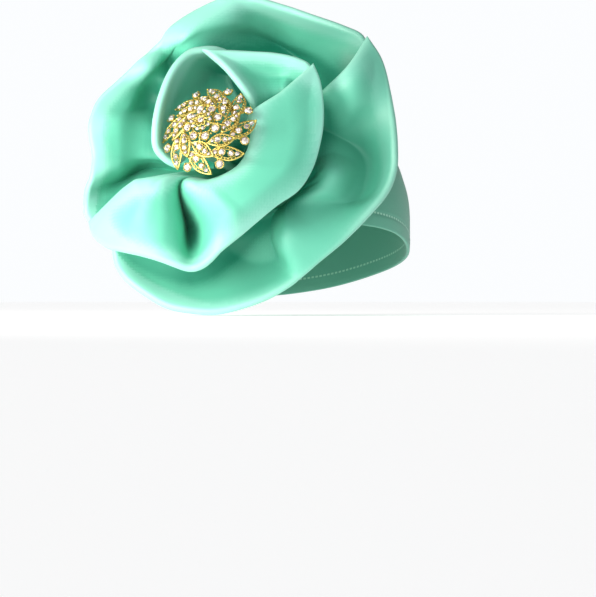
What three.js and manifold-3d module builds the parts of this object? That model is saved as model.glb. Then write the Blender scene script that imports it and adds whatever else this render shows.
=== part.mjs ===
// A ready-tied gele: a close-fitting satin cap that carries a large rosette of folded satin petals,
// with a domed gilt brooch set with clear stones pinned at the heart of the rosette.
// Millimetres, +Z up. The origin is the middle of the head opening at brow height. The wearer
// faces -Y and has the left ear at +X.
import * as THREE from 'three';
import Module from 'manifold-3d';
import { mergeVertices } from 'three/addons/utils/BufferGeometryUtils.js';

const wasm = await Module();
wasm.setup();

// Cap sizes. The head fills the inside of the cap, so its width and length are the cap's inside.
const headWidth = 164;
const headLength = 196;
const crownHeight = 86;
const crownSquareness = 2.1;
const capWall = 2;

// Rosette sizes. Reach is measured from a hub in the rosette's face, lift towards its front.
const rosetteRadius = 112;
const rosetteDepth = 75;
const rosetteTurn = -18;
const petalWall = 2.4;
const petalFold = 5.4;
const sewnGap = 0.3;
const outerRootRadius = 34;
const innerRootRadius = 24;
const centreRootRadius = 15;
const capEase = 2;
const rootEase = 0.2;

// Brooch sizes.
const broochDiameter = 68;
const broochDome = 10;
const tierRise = 1.6;
const leafWall = 1.1;
const stoneGap = 0.3;
const ribCount = 4;
const ribWidth = 1.6;
const pinWire = 1.4;
const pinLength = 40;

// Where the rosette sits on the cap, as shares of the cap's half width and of the crown's height.
const seatAcross = -0.25;
const seatUp = 0.46;

// How finely the cap, and a petal along its strip, are faceted.
const capSides = 32;
const capRings = 8;
const facetsPerRow = 1.5;

// Corners that lie closer together than this on a petal's cut edge are made one.
const cutMerge = 0.02;

const satin = new THREE.MeshStandardMaterial({ color: 0x63d3a8, roughness: 0.42, metalness: 0 });
const jersey = new THREE.MeshStandardMaterial({ color: 0x5a9e80, roughness: 0.75, metalness: 0 });
const gilt = new THREE.MeshStandardMaterial({ color: 0xd8b24e, roughness: 0.25, metalness: 1 });
const crystal = new THREE.MeshStandardMaterial({ color: 0xf2ebe6, roughness: 0.05, metalness: 0 });

const radians = THREE.MathUtils.degToRad;
const tilt = radians(rosetteTurn);

// Catmull-Rom blend: the value a share f of the way from b to c, with a and d on either side.
function blend(a, b, c, d, f) {
  const rise = (c - a) / 2;
  const fall = (d - b) / 2;
  const span = c - b;
  return b + f * (rise + f * (3 * span - 2 * rise - fall + f * (rise + fall - 2 * span)));
}

// A smooth curve through the numbers of a list, read at a place from 0 to the last index.
function through(list, place) {
  const last = list.length - 1;
  const i = Math.min(Math.floor(place), last - 1);
  const before = i > 0 ? list[i - 1] : 2 * list[0] - list[1];
  const after = i + 2 <= last ? list[i + 2] : 2 * list[last] - list[last - 1];
  return blend(before, list[i], list[i + 1], after, place - i);
}

// A closed solid from vertices and triangles, as a manifold-3d body that faces outwards.
function bodyOf(vertices, triangles) {
  const geometry = new THREE.BufferGeometry();
  geometry.setAttribute('position', new THREE.Float32BufferAttribute(vertices, 3));
  geometry.setIndex(triangles);
  return bodyFrom(geometry);
}

function bodyFrom(geometry) {
  const bare = geometry.clone();
  bare.deleteAttribute('normal');
  bare.deleteAttribute('uv');
  const merged = mergeVertices(bare, 1e-4);
  return new wasm.Manifold(new wasm.Mesh({
    numProp: 3,
    vertProperties: merged.attributes.position.array,
    triVerts: new Uint32Array(merged.index.array),
  }));
}

// The largest separate piece of a body that was cut.
function mainPiece(body) {
  const pieces = body.decompose();
  return pieces.reduce((best, piece) => (piece.volume() > best.volume() ? piece : best));
}

function meshOf(body, name, material) {
  const { vertProperties, triVerts, numProp, numVert } = body.getMesh();
  const positions = new Float32Array(numVert * 3);
  for (let i = 0; i < numVert; i++) {
    positions.set(vertProperties.subarray(i * numProp, i * numProp + 3), i * 3);
  }
  const geometry = new THREE.BufferGeometry();
  geometry.setAttribute('position', new THREE.BufferAttribute(positions, 3));
  geometry.setIndex(new THREE.BufferAttribute(new Uint32Array(triVerts), 1));
  geometry.computeVertexNormals();
  const mesh = new THREE.Mesh(geometry, material);
  mesh.name = name;
  return mesh;
}

// The cap. Its rim is high over the brow and drops behind the ears to the nape.
// turn is degrees round the head from the brow, drop a share of the crown's height.
const capRim = [
  { place: 'brow', turn: 0, drop: 0.03 },
  { place: 'forehead corner', turn: 36, drop: 0.09 },
  { place: 'temple', turn: 72, drop: 0.27 },
  { place: 'over the ear', turn: 108, drop: 0.42 },
  { place: 'behind the ear', turn: 144, drop: 0.56 },
  { place: 'nape', turn: 180, drop: 0.62 },
];

// The list is carried on round both ends as in a mirror, so the rim is smooth at brow and nape.
function rimDrop(turn) {
  const folded = Math.abs(((turn + 540) % 360) - 180);
  const step = capRim[1].turn - capRim[0].turn;
  const drops = capRim.map((row) => row.drop);
  return crownHeight * through([drops[1], ...drops, drops[drops.length - 2]], 1 + folded / step);
}

// Half of the cap's breadth at a height, as a share of its widest. Below the brow it narrows a little.
function capShare(height, top) {
  if (height >= 0) {
    return (1 - Math.min(1, height / top) ** crownSquareness) ** (1 / crownSquareness);
  }
  return 1 - 0.14 * (height / top) ** 2;
}

// One skin of the cap: rings of points from the rim up to the crown, spaced more closely near the top.
function capSkin(outset) {
  const top = crownHeight + outset;
  const points = [];
  for (let ring = 0; ring < capRings; ring++) {
    const rise = ring / capRings;
    for (let side = 0; side < capSides; side++) {
      const turn = (360 * side) / capSides;
      const low = -rimDrop(turn);
      const height = low + (top - low) * Math.sin((rise * Math.PI) / 2);
      const share = capShare(height, top);
      points.push(
        (headWidth / 2 + outset) * share * Math.sin(radians(turn)),
        -(headLength / 2 + outset) * share * Math.cos(radians(turn)),
        height,
      );
    }
  }
  points.push(0, 0, top);
  return points;
}

function capSkinTriangles(first, outward) {
  const triangles = [];
  const add = (a, b, c) => triangles.push(...(outward ? [a, b, c] : [a, c, b]));
  const crown = first + capRings * capSides;
  for (let side = 0; side < capSides; side++) {
    const next = (side + 1) % capSides;
    for (let ring = 0; ring + 1 < capRings; ring++) {
      const a = first + ring * capSides;
      const b = a + capSides;
      add(a + side, a + next, b + next);
      add(a + side, b + next, b + side);
    }
    const high = crown - capSides;
    add(high + side, high + next, crown);
  }
  return triangles;
}

function capBody(inset, outset) {
  const inner = capSkin(inset);
  const outer = capSkin(outset);
  const innerFirst = outer.length / 3;
  const triangles = [...capSkinTriangles(0, true), ...capSkinTriangles(innerFirst, false)];
  for (let side = 0; side < capSides; side++) {
    const next = (side + 1) % capSides;
    triangles.push(side, innerFirst + side, innerFirst + next);
    triangles.push(side, innerFirst + next, next);
  }
  return bodyOf([...outer, ...inner], triangles);
}

// The rosette stands on the front of the cap and faces a little to the wearer's right. In its own
// frame x runs across its face, z up and -y out of its front, and lift is the height out of its front.
const seat = {
  x: (seatAcross * headWidth) / 2,
  z: seatUp * crownHeight,
};
seat.lift = capLift(seat.x, seat.z);

// Height of the cap's outside over the rosette's face plane through the middle of the head, where
// the cap lies behind that place.
function capLift(x, z) {
  if (z >= crownHeight + capWall) return -Infinity;
  const share = capShare(z, crownHeight + capWall);
  const a = (headWidth / 2 + capWall) * share;
  const b = (headLength / 2 + capWall) * share;
  const c = Math.cos(tilt);
  const s = Math.sin(tilt);
  const square = (s / a) ** 2 + (c / b) ** 2;
  const middle = x * s * c * (1 / b ** 2 - 1 / a ** 2);
  const rest = x ** 2 * ((c / a) ** 2 + (s / b) ** 2) - 1;
  const inside = middle ** 2 - square * rest;
  return inside > 0 ? (middle + Math.sqrt(inside)) / square : -Infinity;
}

// The two hubs that the petals' sections turn about, as shares of the rosette's radius from its seat.
const outerHub = { x: -0.14, z: 0.03 };
const innerHub = { x: -0.31, z: 0.14 };

// A point of a petal from a hub, a turn in degrees, a reach and a lift.
function petalPoint(hub, turn, reach, lift) {
  const r = reach * rosetteRadius;
  return [
    seat.x + hub.x * rosetteRadius + r * Math.cos(radians(turn)),
    -(seat.lift + lift * rosetteDepth),
    seat.z + hub.z * rosetteRadius + r * Math.sin(radians(turn)),
  ];
}

// The petals. A petal is cut as one strip that winds clockwise round its hub, and each row is one
// section across it: from the root sewn to the cap, over a waist, to the free fold at the rim.
// Turns are degrees anticlockwise from the viewer's right, reach is a share of the rosette's
// radius from the hub, and lift a share of its depth from the seat.
const columns = [
  'root',
  'waistTurn', 'waistReach', 'waistLift',
  'breastTurn', 'breastReach', 'breastLift',
  'rimTurn', 'rimReach', 'rimLift',
];

const outerRight = [
  [52, 39, 0.614, -0.02, 40, 0.854, 0.09, 44, 1.107, -0.07],
  [40, 33, 0.615, -0.02, 33, 0.834, 0.17, 35, 1.081, -0.02],
  [26, 26, 0.584, -0.1, 24, 0.781, 0.12, 25, 1.035, 0.04],
  [12, 17, 0.537, -0.16, 14, 0.709, -0.08, 14, 0.999, 0.12],
  [0, 5, 0.547, -0.04, 4, 0.767, -0.14, 4, 0.981, 0.2],
  [-12, -8, 0.592, 0.26, -6, 0.793, -0.06, -5, 0.975, 0.24],
  [-24, -20, 0.568, 0.3, -20, 0.77, 0.08, -14, 0.944, 0.28],
  [-36, -32, 0.486, 0.28, -28, 0.672, 0.2, -26, 0.88, 0.32],
  [-48, -45, 0.443, 0.29, -42, 0.624, 0.36, -40, 0.837, 0.34],
  [-58, -53, 0.462, 0.36, -57, 0.593, 0.48, -53, 0.823, 0.36],
  [-64, -60, 0.457, 0.28, -65, 0.622, 0.41, -62, 0.843, 0.38],
  [-70, -68, 0.434, 0.06, -71, 0.584, 0.09, -69, 0.866, 0.4],
  [-78, -81, 0.452, 0, -82, 0.609, 0.04, -79, 0.902, 0.41],
  [-90, -92, 0.489, -0.02, -94, 0.667, 0.04, -90, 0.946, 0.4],
  [-100, -100, 0.534, -0.03, -103, 0.728, 0, -99, 0.99, 0.37],
  [-110, -109, 0.584, -0.07, -111, 0.793, -0.06, -108, 1.019, 0.32],
  [-120, -118, 0.624, -0.11, -119, 0.843, -0.07, -116, 1.044, 0.24],
  [-130, -126, 0.649, -0.15, -127, 0.873, -0.12, -125, 1.047, 0.14],
  [-140, -134, 0.677, -0.18, -134, 0.891, -0.15, -133, 1.052, 0.05],
  [-150, -141, 0.7, -0.19, -141, 0.896, -0.16, -139, 1.038, -0.04],
  [-160, -149, 0.715, -0.2, -146, 0.89, -0.19, -145, 0.985, -0.1],
];

const outerLeft = [
  [224, 206, 0.595, -0.23, 210, 0.805, -0.23, 211, 1.018, -0.12],
  [214, 199, 0.594, -0.23, 202, 0.812, -0.23, 201, 1.042, -0.11],
  [206, 192, 0.593, -0.39, 196, 0.818, -0.34, 197, 1.03, -0.12],
  [198, 185, 0.59, -0.68, 190, 0.806, -0.52, 192, 0.999, -0.18],
  [191, 180, 0.583, -0.52, 184, 0.793, -0.31, 186, 0.958, -0.22],
  [182, 177, 0.595, -0.46, 178, 0.792, -0.32, 179, 0.943, -0.28],
  [172, 168, 0.608, -0.5, 170, 0.805, -0.35, 172, 0.973, -0.32],
  [162, 159, 0.632, -0.58, 162, 0.821, -0.38, 166, 0.996, -0.36],
  [152, 150, 0.682, -0.84, 155, 0.809, -0.52, 157, 0.991, -0.44],
  [142, 142, 0.71, -0.87, 145, 0.827, -0.58, 147, 0.939, -0.5],
  [132, 134, 0.734, -0.74, 135, 0.828, -0.5, 137, 0.917, -0.54],
  [122, 125, 0.754, -0.82, 125, 0.846, -0.66, 127, 0.919, -0.58],
  [112, 117, 0.746, -0.47, 116, 0.859, -0.36, 117, 0.959, -0.55],
  [102, 108, 0.736, -0.44, 105, 0.894, -0.38, 105, 1.006, -0.56],
  [90, 96, 0.741, -0.63, 93, 0.898, -0.51, 95, 1.051, -0.55],
  [78, 86, 0.751, -0.84, 84, 0.887, -0.79, 86, 1.048, -0.55],
  [66, 75, 0.745, -1, 74, 0.856, -0.98, 75, 1.023, -0.56],
  [54, 64, 0.732, -1.06, 63, 0.848, -0.92, 64, 1.027, -0.52],
  [44, 53, 0.708, -1.03, 53, 0.865, -0.76, 53, 1.076, -0.48],
  [34, 42, 0.68, -0.92, 44, 0.858, -0.6, 46, 1.113, -0.46],
  [24, 33, 0.648, -0.68, 35, 0.832, -0.54, 40, 1.072, -0.46],
];

const innerFront = [
  [34, 27, 0.265, 0.54, 34, 0.525, 0.44, 37, 0.785, 0.2],
  [22, 12, 0.256, 0.6, 21, 0.504, 0.52, 29, 0.762, 0.26],
  [10, -2, 0.25, 0.64, 9, 0.49, 0.58, 19, 0.727, 0.33],
  [-2, -16, 0.248, 0.66, -2, 0.484, 0.64, 8, 0.694, 0.4],
  [-14, -32, 0.251, 0.69, -15, 0.474, 0.7, -2, 0.668, 0.46],
  [-26, -46, 0.254, 0.72, -26, 0.471, 0.77, -17, 0.646, 0.54],
  [-38, -59, 0.254, 0.74, -39, 0.45, 0.84, -31, 0.626, 0.62],
  [-50, -72, 0.257, 0.76, -53, 0.445, 0.9, -46, 0.582, 0.7],
  [-62, -83, 0.264, 0.77, -67, 0.456, 0.94, -62, 0.596, 0.78],
  [-74, -93, 0.276, 0.78, -77, 0.492, 0.96, -74, 0.641, 0.84],
  [-86, -102, 0.287, 0.78, -88, 0.539, 0.86, -84, 0.707, 0.89],
  [-96, -109, 0.297, 0.78, -95, 0.562, 0.65, -90, 0.77, 0.9],
  [-104, -116, 0.305, 0.73, -100, 0.583, 0.36, -95, 0.809, 0.9],
  [-111, -123, 0.312, 0.49, -106, 0.587, 0.2, -99, 0.824, 0.89],
  [-119, -128, 0.32, 0.57, -109, 0.583, 0.56, -105, 0.827, 0.89],
  [-128, -133, 0.345, 0.62, -117, 0.586, 0.74, -112, 0.828, 0.85],
  [-138, -136, 0.366, 0.64, -126, 0.602, 0.78, -120, 0.849, 0.78],
  [-148, -138, 0.38, 0.62, -133, 0.612, 0.76, -127, 0.89, 0.69],
  [-158, -140, 0.389, 0.6, -139, 0.609, 0.69, -133, 0.936, 0.57],
  [-168, -140, 0.394, 0.56, -146, 0.603, 0.6, -140, 0.951, 0.42],
  [-176, -141, 0.416, 0.52, -150, 0.59, 0.49, -146, 0.923, 0.3],
];

const innerTop = [
  [112, 38, 0.314, 0.38, 77, 0.425, 0.3, 97, 0.558, 0.24],
  [86, 35, 0.377, 0.28, 63, 0.458, 0.17, 83, 0.561, 0.2],
  [64, 33, 0.443, 0.22, 52, 0.503, 0.1, 67, 0.599, 0.16],
  [46, 33, 0.499, 0.21, 44, 0.57, 0.09, 54, 0.67, 0.13],
  [32, 32, 0.526, 0.21, 39, 0.617, 0.12, 44, 0.737, 0.12],
  [20, 29, 0.525, 0.2, 34, 0.625, 0.12, 37, 0.767, 0.12],
  [8, 23, 0.498, 0.17, 28, 0.587, 0.1, 30, 0.717, 0.1],
];

const centreLeft = [
  [226, 221, 0.13, 0.38, 219, 0.219, 0.49, 222, 0.284, 0.57],
  [210, 200, 0.133, 0.3, 201, 0.244, 0.41, 207, 0.32, 0.6],
  [194, 177, 0.14, 0.22, 188, 0.263, 0.36, 192, 0.353, 0.61],
  [178, 158, 0.159, 0.17, 171, 0.278, 0.29, 176, 0.352, 0.62],
  [162, 142, 0.18, 0.12, 155, 0.297, 0.25, 157, 0.368, 0.58],
  [146, 127, 0.205, 0.08, 138, 0.323, 0.17, 139, 0.41, 0.52],
  [130, 112, 0.235, -0.03, 121, 0.359, 0.06, 125, 0.468, 0.44],
  [116, 103, 0.265, -0.11, 108, 0.407, -0.04, 114, 0.524, 0.34],
  [104, 94, 0.3, -0.19, 98, 0.447, -0.15, 105, 0.562, 0.26],
  [92, 85, 0.328, -0.24, 90, 0.465, -0.22, 97, 0.569, 0.21],
  [80, 77, 0.35, -0.27, 82, 0.471, -0.24, 89, 0.571, 0.16],
  [68, 70, 0.364, -0.27, 74, 0.471, -0.24, 80, 0.557, 0.1],
];

// The petals with their hubs, sewn roots and the number of facets across the strip.
const petals = [
  { name: 'petal_inner_front', rows: innerFront, hub: innerHub, rootRadius: innerRootRadius, across: 6 },
  { name: 'petal_inner_top', rows: innerTop, hub: innerHub, rootRadius: innerRootRadius, across: 5 },
  { name: 'petal_centre', rows: centreLeft, hub: innerHub, rootRadius: centreRootRadius, across: 5 },
  { name: 'petal_outer_right', rows: outerRight, hub: outerHub, rootRadius: outerRootRadius, across: 5 },
  { name: 'petal_outer_left', rows: outerLeft, hub: outerHub, rootRadius: outerRootRadius, across: 5 },
];

// The four control points of a section: root, waist, breast and rim.
function sectionPoints(petal, row) {
  const at = Object.fromEntries(columns.map((column, i) => [column, row[i]]));
  const rootX = seat.x + petal.rootRadius * Math.cos(radians(at.root));
  const rootZ = seat.z + petal.rootRadius * Math.sin(radians(at.root));
  const root = [rootX, -(capLift(rootX, rootZ) - capWall / 2), rootZ];
  const waist = petalPoint(petal.hub, at.waistTurn, at.waistReach, at.waistLift);
  const breast = petalPoint(petal.hub, at.breastTurn, at.breastReach, at.breastLift);
  const rim = petalPoint(petal.hub, at.rimTurn, at.rimReach, at.rimLift);
  return [root, waist, breast, rim];
}

// Eases a lift off the cap: well clear of it the lift stays, and the cloth never comes closer to
// the cap than its own half thickness and two sewn gaps, but for its root.
function easedOffCap(x, z, lift, across) {
  const offRoot = Math.min(1, across / rootEase);
  const floor = capLift(x, z) + (petalWall / 2 + 2 * sewnGap) * offRoot * offRoot * (3 - 2 * offRoot);
  if (floor === -Infinity) return lift;
  const apart = lift - floor;
  return floor + (apart + Math.hypot(apart, capEase)) / 2;
}

// The middle surface of a petal at a place along the strip and a place across it.
function petalSurface(petal) {
  const sections = petal.rows.map((row) => sectionPoints(petal, row));
  return (along, across) => {
    const [x, y, z] = [0, 1, 2].map((axis) => {
      const line = [0, 1, 2, 3].map((point) => through(sections.map((s) => s[point][axis]), along));
      return through(line, across);
    });
    return [x, -easedOffCap(x, z, -y, across), z];
  };
}

// Half of the cloth's thickness at a distance from its folded edge: a round fold that thins
// to the wall's own thickness further in.
function foldHalf(distance, fold, wall) {
  const round = fold / 2;
  if (distance < round) {
    return Math.sqrt(round ** 2 - (round - distance) ** 2);
  }
  const fade = Math.min(1, (distance - round) / (3 * fold));
  return round + (wall / 2 - round) * fade * fade * (3 - 2 * fade);
}

// Places from 0 to last with extra ones close to each end, where the cloth folds over.
const foldSteps = [0.3, 1.2];
function placesAlong(last, count, startStep, endStep) {
  const places = [0, ...foldSteps.map((share) => share * startStep)];
  const from = 2.6 * startStep;
  const to = last - 2.6 * endStep;
  for (let i = 0; i <= count; i++) {
    places.push(from + ((to - from) * i) / count);
  }
  return [...places, ...foldSteps.map((share) => last - share * endStep).reverse(), last];
}

const distance = (p, q) => Math.hypot(p[0] - q[0], p[1] - q[1], p[2] - q[2]);

// A petal as a body: front and back skins of the middle surface that meet all round its edge.
function petalBody(petal, extra) {
  const surface = petalSurface(petal);
  const wall = petalWall + 2 * extra;
  const fold = petalFold + 2 * extra;
  const lastRow = petal.rows.length - 1;
  const stepAt = (a, b) => fold / 2 / Math.max(1, distance(surface(...a), surface(...b)));
  const pastBreast = 2.5;
  const startStep = stepAt([0, pastBreast], [1, pastBreast]);
  const endStep = stepAt([lastRow, pastBreast], [lastRow - 1, pastBreast]);
  const alongPlaces = placesAlong(lastRow, Math.round(facetsPerRow * lastRow), startStep, endStep);
  const front = [];
  const back = [];
  const columnsOf = alongPlaces.map((along) => {
    const rimStep = stepAt([along, 3], [along, 2]);
    return placesAlong(3, petal.across, 0, rimStep).slice(foldSteps.length + 1);
  });
  const width = columnsOf[0].length;
  const grid = alongPlaces.map((along, i) => columnsOf[i].map((across) => surface(along, across)));
  const edgeRun = grid.map((line) => {
    const run = [0];
    for (let j = 1; j < width; j++) run.push(run[j - 1] + distance(line[j], line[j - 1]));
    return run;
  });
  const sideRun = [0];
  for (let i = 1; i < grid.length; i++) {
    const middle = Math.floor(width / 2);
    sideRun.push(sideRun[i - 1] + distance(grid[i][middle], grid[i - 1][middle]));
  }
  const sideEnd = sideRun[grid.length - 1];
  for (let i = 0; i < grid.length; i++) {
    for (let j = 0; j < width; j++) {
      const a = grid[Math.min(i + 1, grid.length - 1)][j];
      const b = grid[Math.max(i - 1, 0)][j];
      const c = grid[i][Math.min(j + 1, width - 1)];
      const d = grid[i][Math.max(j - 1, 0)];
      const normal = new THREE.Vector3(a[0] - b[0], a[1] - b[1], a[2] - b[2])
        .cross(new THREE.Vector3(c[0] - d[0], c[1] - d[1], c[2] - d[2])).normalize();
      const nearest = Math.min(edgeRun[i][width - 1] - edgeRun[i][j], sideRun[i], sideEnd - sideRun[i]);
      const half = j === 0 ? 0 : foldHalf(Math.max(0, nearest), fold, wall);
      const p = new THREE.Vector3(...grid[i][j]);
      front.push(p.clone().addScaledVector(normal, half).toArray());
      back.push(p.clone().addScaledVector(normal, -half).toArray());
    }
  }
  const onEdge = (i, j) => i === 0 || j === 0 || i === grid.length - 1 || j === width - 1;
  const vertices = [...front];
  const backIndex = [];
  back.forEach((point, k) => {
    if (onEdge(Math.floor(k / width), k % width)) {
      backIndex.push(k);
    } else {
      backIndex.push(vertices.length);
      vertices.push(point);
    }
  });
  const triangles = [];
  for (let i = 0; i + 1 < grid.length; i++) {
    for (let j = 0; j + 1 < width; j++) {
      const a = i * width + j;
      const b = a + 1;
      const c = a + width;
      const d = c + 1;
      triangles.push(a, c, b, b, c, d);
      triangles.push(...[a, b, c, b, d, c].map((k) => backIndex[k]));
    }
  }
  return bodyOf(vertices.flat(), triangles);
}

const part = new THREE.Group();
part.add(meshOf(capBody(0, capWall), 'cap', jersey));

const rosette = new THREE.Group();
rosette.rotation.z = tilt;
part.add(rosette);

const keepClear = [capBody(-sewnGap, capWall + sewnGap).rotate([0, 0, -rosetteTurn])];
const petalBodies = [];
for (const petal of petals) {
  const whole = petalBody(petal, 0);
  const cut = mainPiece(keepClear.reduce((body, other) => body.subtract(other), whole))
    .setTolerance(cutMerge);
  rosette.add(meshOf(cut, petal.name, satin));
  petalBodies.push(cut);
  keepClear.push(petalBody(petal, sewnGap), cut);
}

// The brooch lies over the inner petals' crests and faces up to the viewer's left. In its own
// frame z points out of its face. The place is in the rosette's frame, as shares of its radius
// and depth from the seat, and the lean and swing turn the face away from the rosette's front.
const broochPlace = { x: -0.312, z: 0.16, lift: 0.62 };
const broochLean = 34;
const broochSwing = 37;
const broochRadius = broochDiameter / 2;

// Each tier is a ring that carries leaves or round tabs with the stones. Radius is where a leaf or
// tab has its middle, ring the ring's two radii, length and width a leaf's, all as shares of the
// brooch's radius. Turn is where the first one stands, in degrees from the brooch's right, and
// raise the tier's height over the dome as a share of a tier's rise. Sweep is how far a leaf is
// turned from pointing straight out.
const leafTiers = [
  { name: 'outer', radius: 0.77, turn: 0, ring: [0.6, 0.67], length: 0.66, width: 0.27, raise: 0 },
  { name: 'middle', radius: 0.55, turn: 8, ring: [0.42, 0.48], length: 0.52, width: 0.25, raise: 1.2 },
];
const leafSweep = 42;
const tabTiers = [
  { name: 'rim', radius: 0.9, turn: 30, stem: [0.64, 0.84], raise: 0 },
  { name: 'inner', radius: 0.33, turn: 22.5, ring: [0.21, 0.27], raise: 1.8 },
];
const aroundTier = 8;
const ringSides = 16;
const stemWidth = 1.8;
const tabMargin = 0.7;

// The stones' diameters, and a leaf's two stones as shares of its length from its middle.
const tabStone = 5.3;
const leafStones = [
  { along: -0.11, diameter: 4.3 },
  { along: 0.16, diameter: 3.6 },
];
const holeShare = 0.8;

const flower = { petals: 10, radius: 0.2, stone: 4.6, raise: 2.8 };

// One leaf from its base round its tip and back. Along is a share of the leaf's length from its
// middle, across a share of its width, and the leaf bends to one side towards both ends.
const leafOutline = [
  { along: -0.5, across: 0 },
  { along: -0.28, across: -0.36 },
  { along: 0, across: -0.5 },
  { along: 0.26, across: -0.36 },
  { along: 0.5, across: 0 },
  { along: 0.26, across: 0.36 },
  { along: 0, across: 0.5 },
  { along: -0.28, across: 0.36 },
];
const leafBend = 1.1;

// Height of the dome's upper face at a radius.
const domeHeight = (r) => broochDome * (1 - (r / broochRadius) ** 2);

// A round run of points in the plane.
function circle(radius, count, x, y) {
  const points = [];
  for (let k = 0; k < count; k++) {
    const turn = (2 * Math.PI * k) / count;
    points.push(new THREE.Vector2(x + radius * Math.cos(turn), y + radius * Math.sin(turn)));
  }
  return points;
}

// A flat plate laid over the dome as a body, its upper face raised over the dome.
function domedPlate(outline, holes, raise) {
  const shape = new THREE.Shape(outline);
  shape.holes = holes.map((hole) => new THREE.Path([...hole].reverse()));
  const plate = new THREE.ExtrudeGeometry(shape, { depth: leafWall, bevelEnabled: false, steps: 1 });
  const place = plate.attributes.position;
  for (let i = 0; i < place.count; i++) {
    const bulge = domeHeight(Math.hypot(place.getX(i), place.getY(i)));
    place.setZ(i, place.getZ(i) + bulge + raise - leafWall);
  }
  return bodyFrom(plate);
}

// A place in a tier given from the middle of its leaf or tab, x straight out.
function onTier(tier, index, x, y) {
  const turn = radians(tier.turn) + (2 * Math.PI * index) / aroundTier;
  return new THREE.Vector2(tier.radius * broochRadius + x, y).rotateAround(new THREE.Vector2(), turn);
}

// A place in a leaf from a share of its length and of its width.
function onLeaf(tier, index, along, across) {
  const x = along * tier.length * broochRadius;
  const y = (across + leafBend * along * Math.abs(along)) * tier.width * broochRadius;
  const swept = new THREE.Vector2(x, y).rotateAround(new THREE.Vector2(), radians(leafSweep));
  return onTier(tier, index, swept.x, swept.y);
}

// A ring lies half a wall lower than the leaves or tabs that it carries.
function ringBody(tier) {
  const [inner, outer] = tier.ring.map((share) => circle(share * broochRadius, ringSides, 0, 0));
  return domedPlate(outer, [inner], tier.raise * tierRise - leafWall / 2);
}

function leafBody(tier, index) {
  const outline = leafOutline.map(({ along, across }) => onLeaf(tier, index, along, across));
  const holes = leafStones.map(({ along, diameter }) => {
    const middle = onLeaf(tier, index, along, 0);
    return circle((holeShare * diameter) / 2, 6, middle.x, middle.y);
  });
  return domedPlate(outline, holes, tier.raise * tierRise);
}

function tabBody(tier, index) {
  const middle = onTier(tier, index, 0, 0);
  const edge = circle(tabStone / 2 + tabMargin, 8, middle.x, middle.y);
  const hole = circle((holeShare * tabStone) / 2, 6, middle.x, middle.y);
  return domedPlate(edge, [hole], tier.raise * tierRise);
}

// A stem that carries a rim tab from the outer ring, and lies three quarters of a wall lower.
function stemBody(tier, index) {
  const [near, far] = tier.stem.map((share) => (share - tier.radius) * broochRadius);
  const half = stemWidth / 2;
  const outline = [[near, -half], [far, -half], [far, half], [near, half]];
  return domedPlate(outline.map(([x, y]) => onTier(tier, index, x, y)), [], -0.75 * leafWall);
}

// A rib that carries the tiers: it climbs under their rings from the outer one to the middle.
// Reach is a share of the brooch's radius, over a share of a tier's rise.
const ribTop = [
  { reach: 0.65, over: 0 },
  { reach: 0.58, over: 0 },
  { reach: 0.47, over: 1.2 },
  { reach: 0.42, over: 1.2 },
  { reach: 0.26, over: 1.8 },
  { reach: 0, over: 1.8 },
];
const ribFoot = (r) => domeHeight(r) - 2 * leafWall;

function ribBody(index) {
  const over = ribTop.map((step) => {
    const r = step.reach * broochRadius;
    return new THREE.Vector2(r, domeHeight(r) + step.over * tierRise - leafWall);
  });
  const under = ribTop.map((step) => {
    const r = step.reach * broochRadius;
    return new THREE.Vector2(r, ribFoot(r));
  });
  const rib = new THREE.ExtrudeGeometry(new THREE.Shape([...over, ...under.reverse()]), {
    depth: ribWidth, bevelEnabled: false, steps: 1,
  });
  return bodyFrom(rib.translate(0, 0, -ribWidth / 2)).rotate([90, 0, 0])
    .rotate([0, 0, (360 * (index + 0.5)) / ribCount]);
}

// The lobed disc at the middle on its post.
function flowerBodies() {
  const raise = flower.raise * tierRise;
  const points = circle(flower.radius * broochRadius, 2 * flower.petals, 0, 0);
  points.forEach((point, k) => point.multiplyScalar(k % 2 ? 0.74 : 1));
  const post = new THREE.CylinderGeometry(ribWidth, ribWidth, raise, 8)
    .translate(0, broochDome + raise / 2 - leafWall / 2, 0);
  return [domedPlate(points, [], raise), bodyFrom(post).rotate([90, 0, 0])];
}

// A cut stone with a flat table, eight crown facets and eight pavilion facets, its girdle at z = 0.
function stoneGeometry(radius) {
  const profile = [[0, -0.58], [1, 0], [0.58, 0.42], [0, 0.42]];
  return new THREE.LatheGeometry(profile.map(([x, y]) => new THREE.Vector2(x * radius, y * radius)), 8)
    .rotateX(Math.PI / 2);
}

// A stone over a place of the brooch, laid along the dome's slope there. Its girdle stands a fifth
// of its radius and a gap over the plate, so that its pointed back is clear of the plate's hole.
function addStone(name, place, raise, diameter) {
  const radius = diameter / 2;
  const r = place.length();
  const slope = Math.atan((2 * broochDome * r) / broochRadius ** 2);
  const stone = new THREE.Mesh(stoneGeometry(radius), crystal);
  stone.name = name;
  stone.applyMatrix4(new THREE.Matrix4().makeTranslation(place.x, place.y, domeHeight(r) + raise * tierRise)
    .multiply(new THREE.Matrix4().makeRotationZ(place.angle()))
    .multiply(new THREE.Matrix4().makeRotationY(slope))
    .multiply(new THREE.Matrix4().makeTranslation(0, 0, 0.2 * radius + stoneGap)));
  brooch.add(stone);
}

const brooch = new THREE.Group();
brooch.position.set(
  seat.x + broochPlace.x * rosetteRadius,
  -(seat.lift + broochPlace.lift * rosetteDepth),
  seat.z + broochPlace.z * rosetteRadius,
);
brooch.rotation.set(radians(90 - broochLean), 0, 0);
brooch.rotateOnWorldAxis(new THREE.Vector3(0, 1, 0), -radians(broochSwing));
rosette.add(brooch);

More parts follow.
